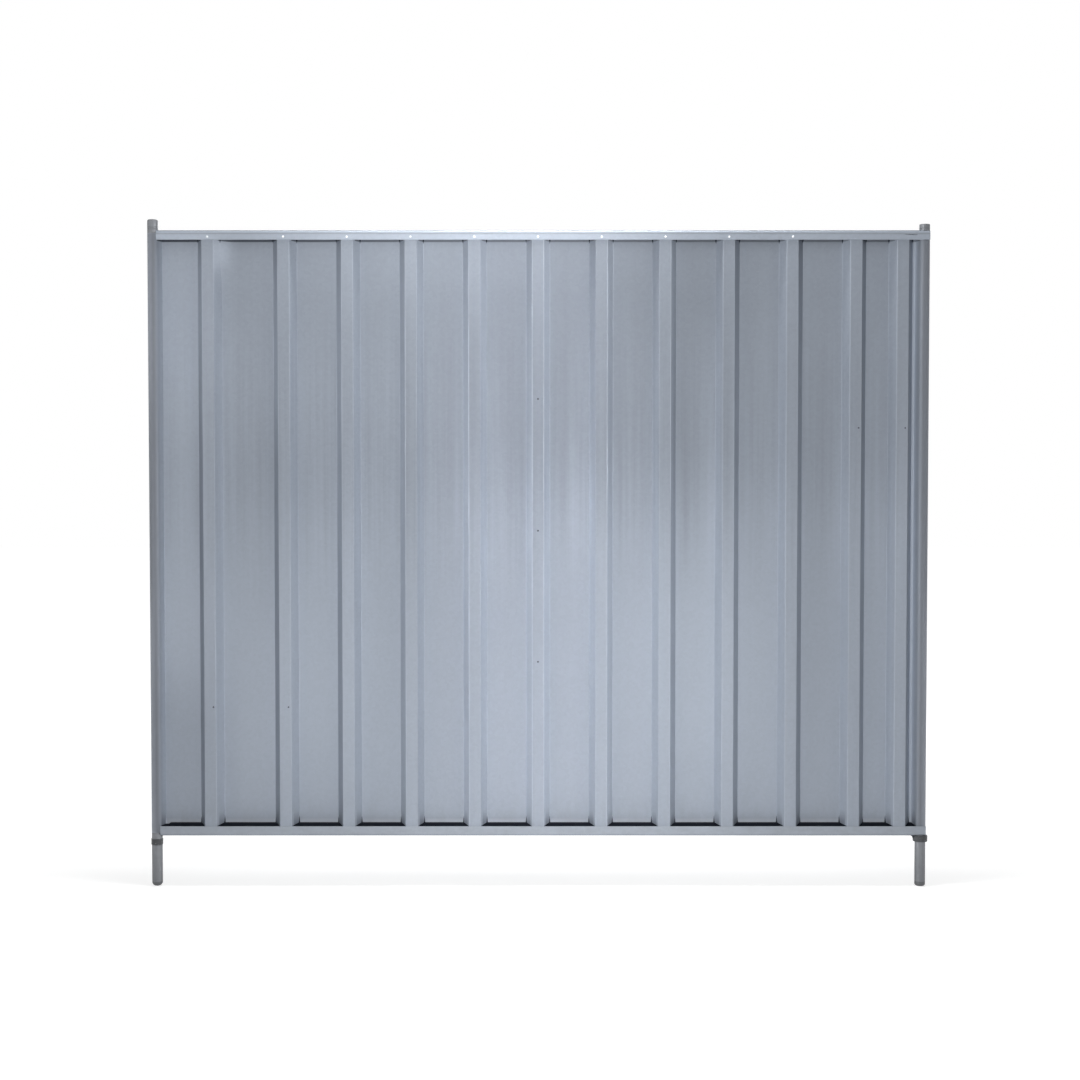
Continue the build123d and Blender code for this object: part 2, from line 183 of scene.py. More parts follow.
# Tubes and their tips
tube_colour = (0.19, 0.198, 0.212, 1.0)
tip_colour = (0.13, 0.134, 0.14, 1.0)
tube_metallic = 0.85
tube_rough = (0.42, 0.58)
mottle_scale = 60.0
mottle_tone = (0.9, 1.08)
mottle_relief = 0.00012
draw_line_scale = (260.0, 260.0, 3.0)
draw_line_tone = (0.94, 1.06)
draw_line_relief = 0.0001
tube_foot_height = 0.13
tube_foot_tone = 0.75
scuff_colour = (0.32, 0.33, 0.34, 1.0)
scuff_scale = (120.0, 120.0, 30.0)
scuff_span = (0.6, 0.72)
scuff_strength = 0.25
scuff_polish = 0.12

# Paint on the stop rings
paint_dark_colour = (0.042, 0.045, 0.05, 1.0)
paint_light_colour = (0.07, 0.074, 0.08, 1.0)
paint_cloud_scale = 45.0
paint_rough = (0.4, 0.55)
chip_colour = (0.26, 0.26, 0.26, 1.0)
chip_scale = 170.0
chip_span = (0.62, 0.66)
chip_metallic = 0.8
chip_depth = 0.00008

# Zinc spray on the welds
spray_dark_colour = (0.2, 0.21, 0.22, 1.0)
spray_light_colour = (0.34, 0.35, 0.37, 1.0)
spray_scale = 700.0
spray_relief = 0.0003
weld_metallic = 0.4
weld_rough = (0.55, 0.75)
# Painted shade on the welds at and under the bottom rail
weld_shade = 0.85
weld_shade_height = 0.1

# Rivets
bright_rivet_colour = (0.78, 0.8, 0.83, 1.0)
bright_rivet_rough = (0.3, 0.45)
dark_rivet_colour = (0.1, 0.105, 0.12, 1.0)
dark_rivet_rough = (0.4, 0.55)
tarnish_scale = 350.0
tarnish_tone = (0.85, 1.05)
scratch_scale = 1500.0
scratch_relief = 0.00003

# Sheets: sizes of the folds and cuts
sheet_thickness = 0.0007
crest_half = 0.0185
slope_run = 0.019
rib_half = crest_half + slope_run
rib_pitch = 0.2
last_rib_pitch = 0.147
lap_reach = 0.015
pan_fold_radius = 0.0025
crest_fold_radius = pan_fold_radius + sheet_thickness
wrap_reach = 0.025
wrap_radius = 0.0177
wrap_stop = radians(40.0 - 180.0)
wrap_hem = 0.0015
lip_height = 0.0305
foot_gap = 0.0055
foot_slit_height = 0.024
foot_slit_half = 0.002
head_slit_depth = 0.008
head_slit_half = 0.005
left_notch_reach = 0.04
right_notch_reach = 0.025
post_notch_run = 0.008
cut_step = 0.0002

# Sheets: the mesh and its small unevenness
arc_step = radians(10.0)
fold_support = 0.0015
run_step = 0.02
row_step = 0.05
row_margin = 0.012
place_decimals = 5
band_rows = 4
sharp_angle = radians(40.0)
pan_wave = 0.0006
crest_wave = 0.00015
wave_fade = 0.15
broad_waves_x, broad_waves_z = 6.0, 1.8
fine_waves_x, fine_waves_z = 14.0, 4.5
fine_wave_place = 5.0
fine_wave_share = 0.35
flat_rib_reach = 0.03
flat_rib_drop = 0.105
flat_rib_fade = 0.045

# Places taken from the frame
panel_foot_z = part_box("bottom_rail")[0].z
panel_head_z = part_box("top_rail")[1].z
sheet_low, sheet_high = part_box("left_sheet")
left_lap_x = sheet_low.x + lap_reach
centre_lap_x = sheet_high.x - lap_reach
right_lap_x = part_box("right_sheet")[1].x - lap_reach
last_rib_x = right_lap_x + last_rib_pitch
left_rib_xs = [centre_lap_x - rib_pitch * count for count in (4, 3, 2, 1)]
right_rib_xs = [centre_lap_x + rib_pitch * count for count in (1, 2, 3, 4)]
left_post_x = (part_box("left_post")[0].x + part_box("left_post")[1].x) / 2
right_post_x = (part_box("right_post")[0].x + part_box("right_post")[1].x) / 2
posts_middle_x = (left_post_x + right_post_x) / 2
post_reach = right_post_x - posts_middle_x
crest_y = sheet_low.y
pan_y = sheet_high.y - sheet_thickness
rail_inside_y = sheet_high.y
foot_lip_z = panel_foot_z + lip_height
head_lip_z = panel_head_z - lip_height
pan_foot_z = foot_lip_z + foot_gap
low_row_z = pan_foot_z + foot_slit_height + row_margin
high_row_z = head_lip_z - head_slit_depth - row_margin
left_notch_x = left_post_x + left_notch_reach
right_notch_x = right_post_x - right_notch_reach


# Shader helpers

def add_node(tree, kind, inputs=None, **settings):
    """A new node. An input given as a socket is linked, any other value is set on the socket."""
    node = tree.nodes.new(kind)
    for key, value in settings.items():
        setattr(node, key, value)
    for key, value in (inputs or {}).items():
        if isinstance(value, bpy.types.NodeSocket):
            tree.links.new(value, node.inputs[key])
        else:
            node.inputs[key].default_value = value
    return node


def new_material(name):
    """A material with a Principled shader; returns the material, its tree and the shader."""
    material = bpy.data.materials.new(name)
    material.use_nodes = True
    tree = material.node_tree
    return material, tree, tree.nodes["Principled BSDF"]


def frame_place(tree):
    """Where a point of a part is, in the parts' own frame."""
    return add_node(tree, "ShaderNodeTexCoord").outputs["Object"]


def axes_of(tree, vector):
    """The X, Y and Z of a vector."""
    return add_node(tree, "ShaderNodeSeparateXYZ", {0: vector}).outputs


def calc(tree, operation, a, b=0.0):
    """The result of a math node."""
    return add_node(tree, "ShaderNodeMath", {0: a, 1: b}, operation=operation).outputs[0]


def remap(tree, value, old, new, smooth=False):
    """A value taken from an old range to a new one, held at the ends."""
    kind = "SMOOTHSTEP" if smooth else "LINEAR"
    inputs = {"Value": value, 1: old[0], 2: old[1], 3: new[0], 4: new[1]}
    return add_node(tree, "ShaderNodeMapRange", inputs, interpolation_type=kind).outputs["Result"]


def moved(span, distance):
    """A range moved along by a distance."""
    low, high = span
    return low + distance, high + distance


def noise(tree, vector, scale, detail=2.0, roughness=0.5):
    """A soft noise from 0 to 1."""
    inputs = {"Vector": vector, "Scale": scale, "Detail": detail, "Roughness": roughness}
    return add_node(tree, "ShaderNodeTexNoise", inputs).outputs["Fac"]


def stretched_noise(tree, vector, scales, detail=2.0, roughness=0.5):
    """A soft noise from 0 to 1, with a scale of its own along each axis."""
    inputs = {0: vector, 1: scales}
    stretched = add_node(tree, "ShaderNodeVectorMath", inputs, operation="MULTIPLY").outputs[0]
    return noise(tree, stretched, 1.0, detail, roughness)


def blend_colours(tree, kind, factor, a, b):
    """Two colours mixed in a blend mode."""
    inputs = {0: factor, 6: a, 7: b}
    return add_node(tree, "ShaderNodeMix", inputs, data_type="RGBA", blend_type=kind).outputs[2]


def toned(tree, colour, tone):
    """A colour made darker or lighter by a tone, where 1 leaves it as it is."""
    grey = add_node(tree, "ShaderNodeCombineColor", {0: tone, 1: tone, 2: tone}).outputs[0]
    return blend_colours(tree, "MULTIPLY", 1.0, colour, grey)


def bump(tree, height, distance, normal=None):
    """A normal bent by a height from 0 to 1, where 1 stands proud by the distance in metres."""
    inputs = {"Height": height, "Distance": distance, "Strength": 1.0}
    if normal is not None:
        inputs["Normal"] = normal
    return add_node(tree, "ShaderNodeBump", inputs).outputs["Normal"]


# Finishes

def zinc_surface(tree, shader, place, colour, rough, streaks):
    """Zinc coat: faint spangle, upright streaks round half height that are partly real and partly painted
    reflection, fine grain. Returns its colour.
    """
    height = axes_of(tree, place)["Z"]
    crystals = add_node(tree, "ShaderNodeTexVoronoi", {"Vector": place, "Scale": spangle_scale})
    crystal = add_node(tree, "ShaderNodeSeparateColor", {0: crystals.outputs["Color"]}).outputs[0]
    thin_streak = stretched_noise(tree, place, thin_streak_scale, detail=4.0, roughness=0.6)
    wide_streak = stretched_noise(tree, place, wide_streak_scale)
    cloud = stretched_noise(tree, place, cloud_scale, detail=3.0)

    # Partly real streaks, partly painted reflection: their tone is strongest round half height
    rising = remap(tree, height, streak_rise, (foot_streaks, 1.0), smooth=True)
    falling = remap(tree, height, streak_fall, (1.0, head_streaks), smooth=True)
    streak = calc(tree, "SUBTRACT", calc(tree, "ADD", thin_streak, wide_streak), 1.0)
    streak = calc(tree, "MULTIPLY", streak, calc(tree, "MINIMUM", rising, falling))
    tone = calc(tree, "ADD", 1.0, calc(tree, "MULTIPLY", streak, streaks))
    tone = calc(tree, "MULTIPLY", tone, remap(tree, crystal, (0.0, 1.0), faint_tone))
    tone = calc(tree, "MULTIPLY", tone, remap(tree, cloud, broad_span, faint_tone))

    roughness = remap(tree, thin_streak, broad_span, rough)
    roughness = calc(tree, "ADD", roughness, remap(tree, crystal, (0.0, 1.0), spangle_rough))
    tree.links.new(roughness, shader.inputs["Roughness"])
    shader.inputs["Metallic"].default_value = zinc_metallic
    shader.inputs["Specular IOR Level"].default_value = zinc_specular
    relief = bump(tree, thin_streak, streak_relief)
    grain = noise(tree, place, grain_scale, detail=3.0)
    tree.links.new(bump(tree, grain, grain_relief, relief), shader.inputs["Normal"])
    return toned(tree, colour, tone)


def shaded_above(tree, place, axes, zinc):
    """Sheet zinc with painted shade on its upper half, most of all near the middle, and a ragged edge to it.
    """
    ragged = stretched_noise(tree, place, shade_edge_scale, detail=3.0)
    drift = remap(tree, ragged, (0.0, 1.0), (-shade_edge_drift, shade_edge_drift))
    drifted_height = calc(tree, "ADD", axes["Z"], drift)
    from_middle = calc(tree, "ABSOLUTE", calc(tree, "SUBTRACT", axes["X"], middle_x))
    darkest = remap(tree, from_middle, middle_reach, (1.0 - painted_middle_shade, 1.0 - painted_upper_shade))
    return toned(tree, zinc, remap(tree, drifted_height, upper_shade_heights, (1.0, darkest), smooth=True))


def dark_round_posts(tree, axes, zinc):
    """Sheet zinc with a darker coat where it wraps round the posts, and painted light on their outer sides,
    most of all low down.
    """
    across = calc(tree, "ABSOLUTE", calc(tree, "SUBTRACT", axes["X"], posts_middle_x))
    on_post = remap(tree, across, moved(post_coat_edge, post_reach), (0.0, post_coat_share), smooth=True)
    # Painted light on the posts' outer sides
    outer_side = remap(tree, across, moved(post_lit_edge, post_reach), (0.0, 1.0))
    lit_by_height = remap(tree, axes["Z"], post_lit_heights, (1.0, upper_post_lit))
    wear_and_light = calc(tree, "MULTIPLY", outer_side, lit_by_height)
    post_coat = blend_colours(tree, "MIX", wear_and_light, post_coat_colour, post_lit_colour)
    return blend_colours(tree, "MIX", on_post, zinc, post_coat)


def painted_highlights(tree, place, axes, coat):
    """Painted highlights along a sheet's folds, and painted light on the narrow pan beside the right post.
    """
    fold = add_node(tree, "ShaderNodeAttribute", attribute_name="fold").outputs["Fac"]
    patches = stretched_noise(tree, place, highlight_patch_scale, detail=4.0)
    patch = remap(tree, patches, noise_span, (least_highlight, 1.0))
    # Painted highlights along the folds, broken into patches
    wear_and_light = calc(tree, "MULTIPLY", fold, calc(tree, "MULTIPLY", patch, fold_highlight))
    coat = blend_colours(tree, "MIX", wear_and_light, coat, painted_highlight_colour)

    # Painted light on the narrow pan beside the right post
    pan_start = last_rib_x + rib_half
    pan_end = right_post_x - wrap_reach
    rib_edge = (pan_start - narrow_pan_edge, pan_start + narrow_pan_edge)
    past_rib = remap(tree, axes["X"], rib_edge, (0.0, narrow_pan_light))
    off_post = remap(tree, axes["X"], (pan_end, pan_end + narrow_pan_fade), (1.0, 0.0))
    return blend_colours(tree, "MIX", calc(tree, "MULTIPLY", past_rib, off_post), coat, painted_highlight_colour)


def shade_and_splashes_at_ends(tree, place, axes, coat):
    """A sheet's coat with splashes of dirt at its foot, painted shade on the slopes above it, painted light
    at the cut edge, and black painted shade behind the lips.
    """
    in_pan = remap(tree, axes["Y"], moved(behind_crest, crest_y), (0.0, 1.0))
    at_back = remap(tree, axes["Y"], moved(before_pan, pan_y), (0.0, 1.0))
    on_slope = calc(tree, "SUBTRACT", in_pan, at_back)
    # Painted shade on the slopes just above the pans' foot
    shaded_part = moved(slope_shade_heights, pan_foot_z)
    near_foot = remap(tree, axes["Z"], shaded_part, (slope_shade, 0.0), smooth=True)
    coat = blend_colours(tree, "MIX", calc(tree, "MULTIPLY", near_foot, on_slope), coat, painted_shade_colour)

    # Painted light: the pans' lowest stretch made lighter, brightest at the cut edge
    foot_light = remap(tree, axes["Z"], moved(foot_light_heights, pan_foot_z), (1.0, 0.0))
    coat = blend_colours(tree, "MIX", calc(tree, "MULTIPLY", foot_light, at_back), coat, foot_light_colour)

    splash = remap(tree, axes["Z"], (pan_foot_z, pan_foot_z + splash_height), (1.0, 0.0), smooth=True)
    splashes = stretched_noise(tree, place, splash_scale, detail=5.0)
    spots = remap(tree, splashes, splash_span, (0.0, splash_strength))
    coat = blend_colours(tree, "MIX", calc(tree, "MULTIPLY", splash, spots), coat, dirt_and_shade_colour)

    # Painted shade: black behind the top lip, stronger at the left, and below the foot lip's edge
    lip_shade = remap(tree, axes["X"], (left_post_x, posts_middle_x), (left_lip_shade, right_lip_shade))
    lip_edge = (head_lip_z - lip_shade_height, head_lip_z)
    under_lip = remap(tree, axes["Z"], lip_edge, (0.0, lip_shade), smooth=True)
    in_foot = remap(tree, axes["Z"], (foot_lip_z, foot_lip_z + foot_shade_height), (1.0, 0.0))
    hidden = calc(tree, "MULTIPLY", calc(tree, "MAXIMUM", under_lip, in_foot), in_pan)
    return blend_colours(tree, "MIX", hidden, coat, painted_shade_colour)


def sheet_zinc(name):
    """Galvanised sheet: painted shade above, dark round the posts with painted light on their outer sides,
    painted highlights along its folds, and splashes with painted light and shade at its ends.
    """
    material, tree, shader = new_material(name)
    place = frame_place(tree)
    axes = axes_of(tree, place)
    coat = zinc_surface(tree, shader, place, sheet_colour, sheet_rough, sheet_streaks)
    coat = shaded_above(tree, place, axes, coat)
    coat = dark_round_posts(tree, axes, coat)
    coat = painted_highlights(tree, place, axes, coat)
    coat = shade_and_splashes_at_ends(tree, place, axes, coat)
    tree.links.new(coat, shader.inputs["Base Color"])
    return material


def rail_zinc(name):
    """Galvanised rail: painted shade along a crease at the head, dulled by dust at the foot, black painted
    shade inside, and painted lighter on the top rail.
    """
    material, tree, shader = new_material(name)
    place = frame_place(tree)
    axes = axes_of(tree, place)
    foot_to_head = (panel_foot_z + rail_dust_margin, panel_head_z - rail_dust_margin)
    # Painted light: the top rail is lighter than the bottom rail
    low = remap(tree, axes["Z"], foot_to_head, (1.0, 0.0))
    colour = blend_colours(tree, "MIX", low, top_rail_colour, bottom_rail_colour)
    coat = zinc_surface(tree, shader, place, colour, rail_rough, rail_streaks)

    dust = remap(tree, stretched_noise(tree, place, dust_scale, detail=4.0), dust_span, (0.0, dust_strength))
    coat = blend_colours(tree, "MIX", calc(tree, "MULTIPLY", dust, low), coat, dirt_and_shade_colour)
    # Painted shade: a dark line along the top rail's face where its top bend ends
    from_crease = calc(tree, "ABSOLUTE", calc(tree, "SUBTRACT", axes["Z"], panel_head_z - crease_drop))
    crease_line = remap(tree, from_crease, crease_half, (crease_shade, 0.0))
    coat = blend_colours(tree, "MIX", crease_line, coat, dirt_and_shade_colour)

    # Painted shade: black inside the channels, between the lips
    depth = calc(tree, "ABSOLUTE", axes["Y"])
    between_lips = remap(tree, depth, moved(lip_skin, rail_inside_y), (1.0, 0.0))
    above_web = remap(tree, axes["Z"], moved(web_skin, panel_foot_z), (0.0, 1.0))
    below_roof = remap(tree, axes["Z"], (panel_head_z - web_skin[1], panel_head_z - web_skin[0]), (1.0, 0.0))
    inside = calc(tree, "MULTIPLY", between_lips, calc(tree, "MINIMUM", above_web, below_roof))
    coat = blend_colours(tree, "MIX", inside, coat, painted_shade_colour)
    tree.links.new(coat, shader.inputs["Base Color"])
    return material


def tube_zinc(name, colour):
    """Dull hot-dipped tube: mottled grey with drawing lines along it and scuffs, darker at its foot."""
    material, tree, shader = new_material(name)
    place = frame_place(tree)
    height = axes_of(tree, place)["Z"]
    mottle = noise(tree, place, mottle_scale, detail=4.0, roughness=0.6)
    lines = stretched_noise(tree, place, draw_line_scale, detail=3.0)
    scuff = remap(tree, stretched_noise(tree, place, scuff_scale, detail=5.0), scuff_span, (0.0, 1.0))

    tone = remap(tree, mottle, noise_span, mottle_tone)
    tone = calc(tree, "MULTIPLY", tone, remap(tree, lines, noise_span, draw_line_tone))
    tone = calc(tree, "MULTIPLY", tone, remap(tree, height, (0.0, tube_foot_height), (tube_foot_tone, 1.0)))
    scuffed = calc(tree, "MULTIPLY", scuff, scuff_strength)
    coat = blend_colours(tree, "MIX", scuffed, toned(tree, colour, tone), scuff_colour)
    tree.links.new(coat, shader.inputs["Base Color"])

    rough = remap(tree, mottle, noise_span, tube_rough)
    rough = calc(tree, "SUBTRACT", rough, calc(tree, "MULTIPLY", scuff, scuff_polish))
    tree.links.new(rough, shader.inputs["Roughness"])
    shader.inputs["Metallic"].default_value = tube_metallic
    relief = bump(tree, lines, draw_line_relief)
    tree.links.new(bump(tree, mottle, mottle_relief, relief), shader.inputs["Normal"])
    return material


def dark_paint(name):
    """Satin dark grey paint, chipped to the metal here and there."""
    material, tree, shader = new_material(name)
    place = frame_place(tree)
    chip = remap(tree, noise(tree, place, chip_scale, detail=5.0, roughness=0.65), chip_span, (0.0, 1.0))
    cloud = noise(tree, place, paint_cloud_scale, detail=3.0)
    paint = blend_colours(tree, "MIX", cloud, paint_dark_colour, paint_light_colour)
    wear_and_light = blend_colours(tree, "MIX", chip, paint, chip_colour)
    tree.links.new(wear_and_light, shader.inputs["Base Color"])
    tree.links.new(calc(tree, "MULTIPLY", chip, chip_metallic), shader.inputs["Metallic"])
    tree.links.new(remap(tree, cloud, noise_span, paint_rough), shader.inputs["Roughness"])
    tree.links.new(bump(tree, calc(tree, "SUBTRACT", 1.0, chip), chip_depth), shader.inputs["Normal"])
    return material


def weld_zinc(name):
    """A bead under rough zinc spray, dark with painted shade at and under the bottom rail."""
    material, tree, shader = new_material(name)
    place = frame_place(tree)
    spray = noise(tree, place, spray_scale, detail=4.0, roughness=0.6)
    zinc = blend_colours(tree, "MIX", spray, spray_dark_colour, spray_light_colour)
    height = axes_of(tree, place)["Z"]
    # Painted shade at and under the bottom rail
    low = remap(tree, height, (panel_foot_z, panel_foot_z + weld_shade_height), (weld_shade, 0.0))
    coat = blend_colours(tree, "MIX", low, zinc, painted_shade_colour)
    tree.links.new(coat, shader.inputs["Base Color"])
    shader.inputs["Metallic"].default_value = weld_metallic
    tree.links.new(remap(tree, spray, noise_span, weld_rough), shader.inputs["Roughness"])
    tree.links.new(bump(tree, spray, spray_relief), shader.inputs["Normal"])
    return material


def rivet_metal(name, colour, rough):
    """Aluminium with fine scratches and a tarnished patch or two."""
    material, tree, shader = new_material(name)
    place = frame_place(tree)
    tarnish = noise(tree, place, tarnish_scale, detail=3.0)
    metal = toned(tree, colour, remap(tree, tarnish, noise_span, tarnish_tone))
    tree.links.new(metal, shader.inputs["Base Color"])
    shader.inputs["Metallic"].default_value = 1.0
    tree.links.new(remap(tree, tarnish, noise_span, rough), shader.inputs["Roughness"])
    tree.links.new(bump(tree, noise(tree, place, scratch_scale), scratch_relief), shader.inputs["Normal"])
    return material


finishes = {
    "sheet": sheet_zinc("galvanised_sheet"),
    "rail": rail_zinc("galvanised_rail"),
    "post_tube": tube_zinc("tube_zinc", tube_colour),
    "leg_tip": tube_zinc("tip_zinc", tip_colour),
    "stop_ring": dark_paint("ring_paint"),
    "weld": weld_zinc("weld_zinc"),
    "bright_rivet": rivet_metal("bright_rivet", bright_rivet_colour, bright_rivet_rough),
    "dark_rivet": rivet_metal("dark_rivet", dark_rivet_colour, dark_rivet_rough),
}


# Sheets, drawn as the line of the front face in plan, then stood up in rows

def rib_corners(x):
    """Corners and fold radii of one whole rib, from left to right."""
    return [
        (Vector((x - rib_half, pan_y)), pan_fold_radius),
        (Vector((x - crest_half, crest_y)), crest_fold_radius),
        (Vector((x + crest_half, crest_y)), crest_fold_radius),
        (Vector((x + rib_half, pan_y)), pan_fold_radius),
    ]


def over_lap(x):
    """The edge of a sheet that starts on top of a rib's crest."""
    return [(Vector((x - lap_reach, crest_y)), 0.0)] + rib_corners(x)[2:]


def under_lap(x):
    """The edge of a sheet that ends under a rib's crest."""
    under_y = crest_y + sheet_thickness
    return [
        (Vector((x - rib_half, pan_y)), pan_fold_radius),
        (Vector((x - crest_half, under_y)), crest_fold_radius),
        (Vector((x + lap_reach, under_y)), 0.0),
    ]


def post_wrap(post_x, facing):
    """The edge of a sheet that leaves its pan and folds round the front of a post."""
    touch = atan2(pan_y, wrap_reach) - acos(wrap_radius / hypot(wrap_reach, pan_y))
    middle = (touch + wrap_stop) / 2
    corner_reach = wrap_radius / cos((touch - wrap_stop) / 2)
    corner = Vector((post_x + facing * corner_reach * cos(middle), corner_reach * sin(middle)))
    hem = Vector((
        post_x + facing * (wrap_radius * cos(wrap_stop) + wrap_hem * sin(wrap_stop)),
        wrap_radius * sin(wrap_stop) - wrap_hem * cos(wrap_stop),
    ))
    fold = Vector((post_x + facing * wrap_reach, pan_y))
    return [(fold, pan_fold_radius), (corner, wrap_radius), (hem, 0.0)]


def bent_line(corners):
    """Points along a folded line: fine steps in each fold's arc, wider ones along the flats."""
    line = [corners[0][0]]

    def run_to(end):
        start = line[-1]
        count = ceil((end - start).length / run_step)
        line.extend(start.lerp(end, (index + 1) / count) for index in range(count))

    for (before, _), (corner, radius), (after, _) in zip(corners, corners[1:], corners[2:]):
        coming = (corner - before).normalized()
        leaving = (after - corner).normalized()
        turn = acos(max(-1.0, min(1.0, coming.dot(leaving))))
        inward = (leaving - coming * coming.dot(leaving)).normalized()
        start = corner - coming * radius * tan(turn / 2)
        end = corner + leaving * radius * tan(turn / 2)
        run_to(start - coming * fold_support)
        steps = ceil(turn / arc_step)
        for index in range(steps + 1):
            angle = turn * index / steps
            line.append(start + coming * radius * sin(angle) + inward * radius * (1 - cos(angle)))
        line.append(end + leaving * fold_support)
    run_to(corners[-1][0])
    return line


def fold_marks(corners, xs):
    """How strong the painted highlight along a line is: most in a rib's outer folds, above all at the crest,
    and not beside the posts.
    """
    marks = np.zeros(len(xs))
    outermost = post_reach - wrap_reach - fold_support
    for (before, _), (corner, _), (after, _) in zip(corners, corners[1:], corners[2:]):
        if abs(corner.x - posts_middle_x) < outermost:
            left_side = before.y > after.y
            outer = left_side == (corner.x < posts_middle_x)
            highlight = (1.0 if outer else inner_fold_highlight) * (pan_fold_highlight if corner.y > 0 else 1.0)
            marks = np.maximum(marks, highlight * (np.abs(xs - corner.x) <= fold_support))
    return marks


def notch_side(front_x, fold_x, slit):
    """One side of a foot notch: up behind the lip, along the slope and, at a rib, up and down a slit."""
    inner = 1 if fold_x > front_x else -1
    side = [(front_x - inner * cut_step, sheet_low.z), (front_x, foot_lip_z)]
    if not slit:
        return side + [(fold_x, pan_foot_z)]
    return side + [
        (fold_x - inner * foot_slit_half, pan_foot_z),
        (fold_x, pan_foot_z + foot_slit_height),
        (fold_x + inner * foot_slit_half, pan_foot_z),
    ]


def right_of(x):
    """The left side of the notch that starts at a rib's right slope."""
    return notch_side(x + crest_half, x + rib_half, slit=True)


def left_of(x):
    """The right side of the notch that ends at a rib's left slope."""
    return notch_side(x - crest_half, x - rib_half, slit=True)


def foot_line(left_sides, right_sides):
    """Heights along a sheet's foot, notched between each left side and the right side after it."""
    line = []
    for left_side, right_side in zip(left_sides, right_sides):
        line += left_side + right_side[::-1]
    return np.array(line)


def head_line(fold_xs):
    """Heights along a sheet's head, slit at each pan fold."""
    line = []
    for x in fold_xs:
        line += [(x - head_slit_half, sheet_high.z), (x, head_lip_z - head_slit_depth)]
        line += [(x + head_slit_half, sheet_high.z)]
    return np.array(line)


def flattened(x, y, z):
    """Depth of the front face where the first rib is pressed flatter, just under the top rail."""
    start_x = left_lap_x + crest_half
    width = slope_run + flat_rib_reach
    if not start_x < x < start_x + width:
        return y
    share = min(max((z - panel_head_z + flat_rib_drop + flat_rib_fade) / flat_rib_fade, 0.0), 1.0)
    wide_y = crest_y + (pan_y - crest_y) * (x - start_x) / width
    return y + (wide_y - y) * share * share * (3 - 2 * share)


def waviness(x, y, z):
    """How far thin sheet strays from flat: most in the pans, and nothing near the rails."""
    depth = (y - crest_y) / (pan_y - crest_y)
    size = crest_wave + (pan_wave - crest_wave) * depth
    end = min(z - low_row_z, high_row_z - z) / wave_fade
    size *= min(max(end, 0.0), 1.0)
    broad = smooth_noise.noise(Vector((x * broad_waves_x, 0.0, z * broad_waves_z)))
    fine = smooth_noise.noise(Vector((x * fine_waves_x, fine_wave_place, z * fine_waves_z)))
    return size * (broad + fine_wave_share * fine)


def sheet_rows(foot, head):
    """Heights of one column of points, from the sheet's foot to its head."""
    middle_count = ceil((high_row_z - low_row_z) / row_step)
    lower = np.linspace(foot, low_row_z, band_rows, endpoint=False)
    middle = np.linspace(low_row_z, high_row_z, middle_count, endpoint=False)
    upper = np.linspace(high_row_z, head, band_rows + 1)
    return np.concatenate([lower, middle, upper])


def sheet_points(xs, ys, foot, head):
    """Points of a sheet's front face, column by column, and those of its back face in the same order."""
    slope = np.gradient(ys, xs)
    backward = np.stack([-slope, np.ones_like(slope)], axis=1)
    backward *= sheet_thickness / np.linalg.norm(backward, axis=1, keepdims=True)
    front = []
    back = []
    for x, y, (step_x, step_y) in zip(xs, ys, backward):
        foot_z = np.interp(x, foot[:, 0], foot[:, 1])
        head_z = np.interp(x, head[:, 0], head[:, 1])
        for z in sheet_rows(foot_z, head_z):
            face_y = flattened(x, y, z) + waviness(x, y, z)
            front.append((x, face_y, z))
            back.append((x + step_x, face_y + step_y, z))
    return front, back


def sheet_faces(columns, rows):
    """Faces of a closed sheet, whose points are the front face's and then the back face's."""
    count = columns * rows
    faces = []
    for near_foot in range(0, count - rows, rows):
        far_foot = near_foot + rows
        for row in range(rows - 1):
            near = near_foot + row
            far = far_foot + row
            faces.append((near, far, far + 1, near + 1))
            faces.append((count + near, count + near + 1, count + far + 1, count + far))
        near_head = near_foot + rows - 1
        far_head = far_foot + rows - 1
        faces.append((near_foot, count + near_foot, count + far_foot, far_foot))
        faces.append((near_head, far_head, count + far_head, count + near_head))
    for first in range(rows - 1):
        last = count - rows + first
        faces.append((first, first + 1, count + first + 1, count + first))
        faces.append((last, count + last, count + last + 1, last + 1))
    return faces


def folded_sheet(name, node, corners, foot, head):
    """A thin folded sheet with smooth folds that stands for a CAD node."""
    line = np.array(bent_line(corners))
    places = np.concatenate([line[:, 0], foot[:, 0], head[:, 0]])
    xs = np.unique(np.round(places, place_decimals))
    xs = xs[(xs >= line[0, 0]) & (xs <= line[-1, 0])]
    ys = np.interp(xs, line[:, 0], line[:, 1])
    front, back = sheet_points(xs, ys, foot, head)
    rows = len(front) // len(xs)

    mesh = bpy.data.meshes.new(name)
    mesh.from_pydata(front + back, [], sheet_faces(len(xs), rows))
    mesh.polygons.foreach_set("use_smooth", [True] * len(mesh.polygons))
    mesh.set_sharp_from_angle(angle=sharp_angle)
    mesh.materials.append(finishes["sheet"])
    fold = mesh.attributes.new("fold", "FLOAT", "POINT")
    fold.data.foreach_set("value", np.tile(np.repeat(fold_marks(corners, xs), rows), 2))
    piece = bpy.data.objects.new(name, mesh)
    bpy.context.scene.collection.objects.link(piece)
    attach(piece, "root")
    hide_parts(node)


def regular_sheet(name, node, first_lap_x, rib_xs, last_lap_x):
    """A full sheet that laps over the rib at its left and under the rib at its right."""
    corners = over_lap(first_lap_x)
    for x in rib_xs:
        corners = corners + rib_corners(x)
    corners = corners + under_lap(last_lap_x)
    left_sides = [right_of(x) for x in (first_lap_x, *rib_xs)]
    right_sides = [left_of(x) for x in (*rib_xs, last_lap_x)]
    foot = foot_line(left_sides, right_sides)
    rib_folds = [x + side * rib_half for x in rib_xs for side in (-1, 1)]
    head = head_line([first_lap_x + rib_half, *rib_folds, last_lap_x - rib_half])
    folded_sheet(name, node, corners, foot, head)


